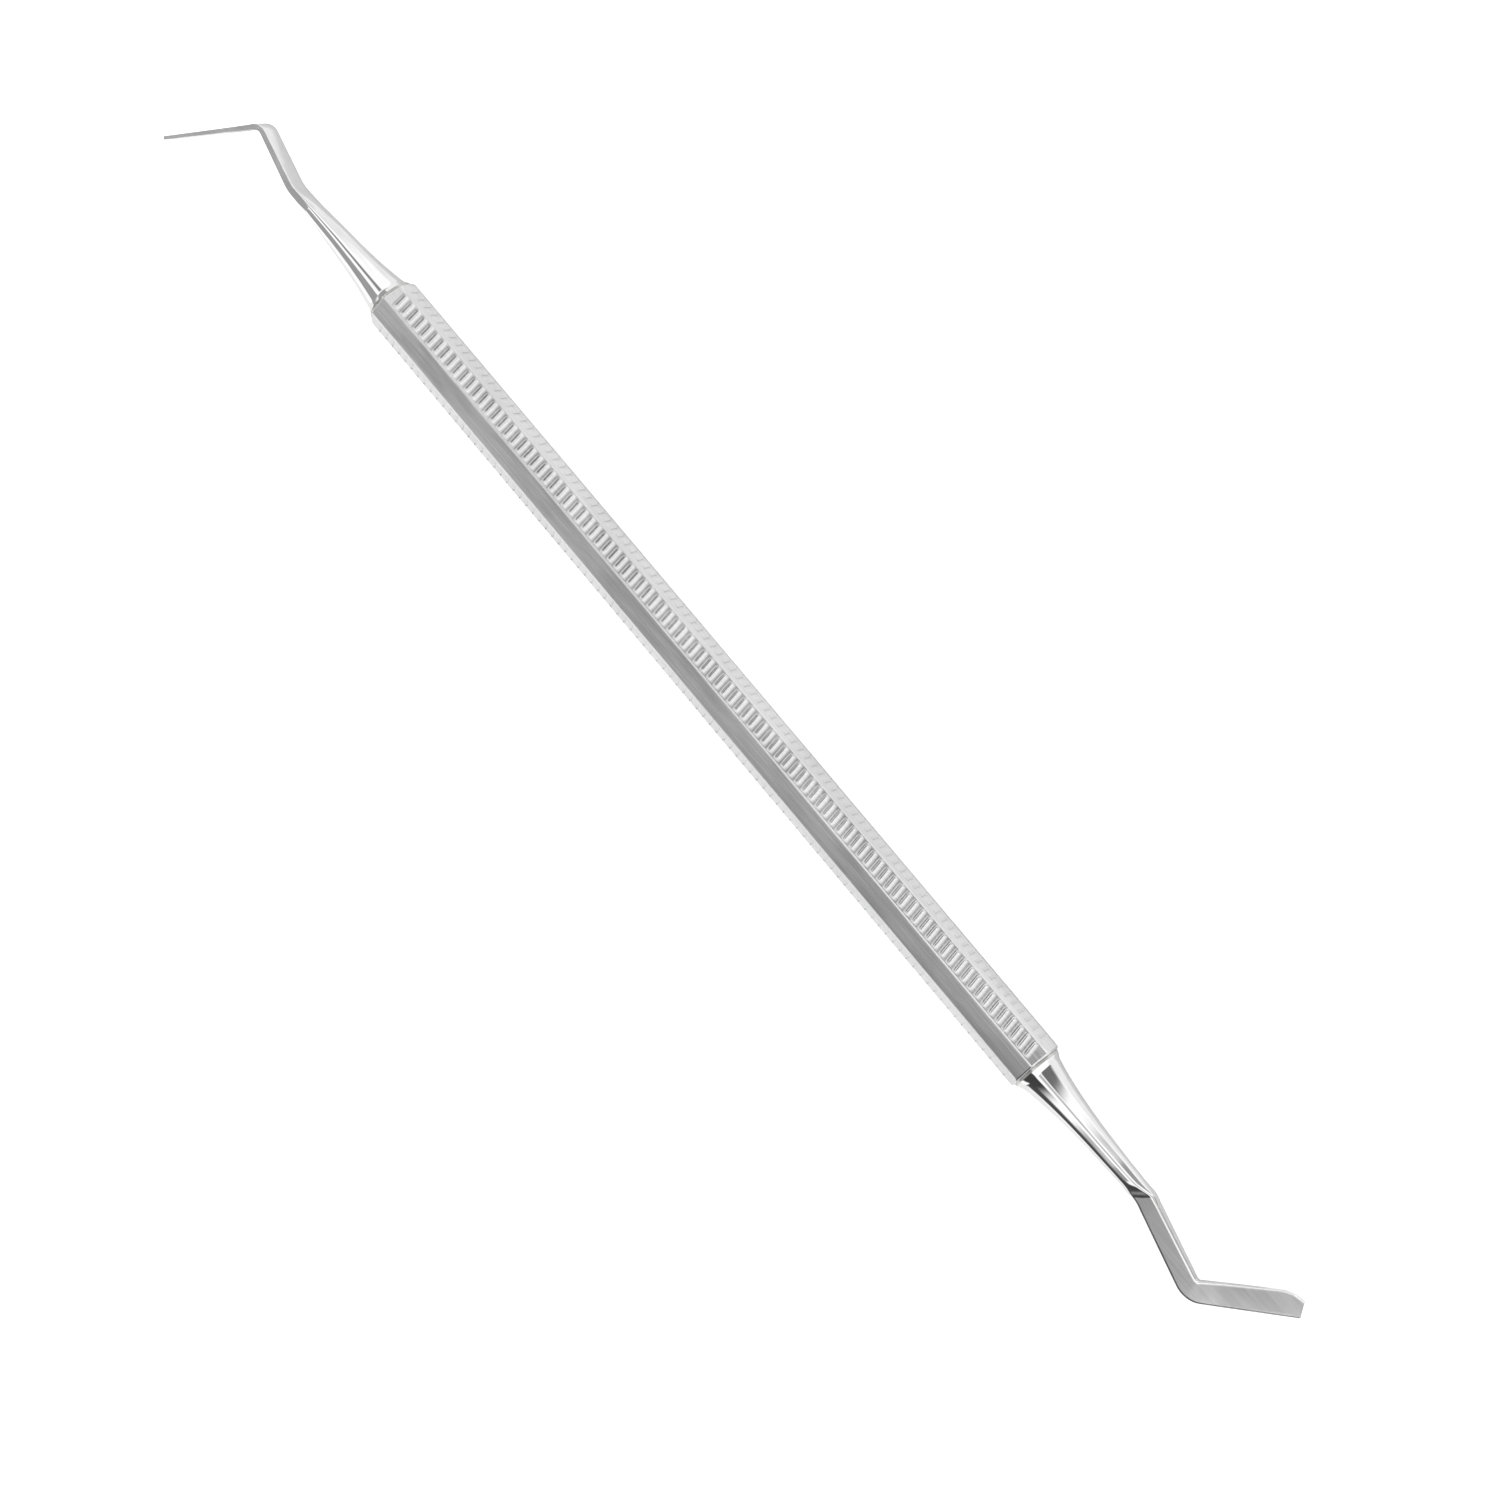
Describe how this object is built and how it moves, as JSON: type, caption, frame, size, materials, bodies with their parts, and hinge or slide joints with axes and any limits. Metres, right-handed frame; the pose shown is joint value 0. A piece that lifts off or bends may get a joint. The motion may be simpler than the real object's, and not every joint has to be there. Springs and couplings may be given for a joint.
{
  "type": "double-ended dental filling spatula",
  "caption": "Double-ended steel dental hand instrument: serrated octagonal handle with a tapered shank and an angled flat blade at each end, for placing and smoothing filling material.",
  "frame": {"origin": "middle of the handle's lower smooth facet, on which the instrument rests", "axes": "+X along the handle towards the hatchet end, whose blade lies in the plane of the bends; +Z the outward normal of the upper smooth facet, up from the rest face; +Y completes the right-handed frame, and both ends are bent in planes parallel to XY"},
  "size_m": [0.1784, 0.0149, 0.006],
  "materials": {
    "satin_steel": "satin",
    "polished_steel": "polished",
    "silver_braze": "polished"
  },
  "bodies": {
    "root": {"handle": "satin_steel", "hatchet_end": "polished_steel", "hoe_end": "polished_steel", "hatchet_braze_ring": "silver_braze", "hoe_braze_ring": "silver_braze"}
  },
  "joints": []
}
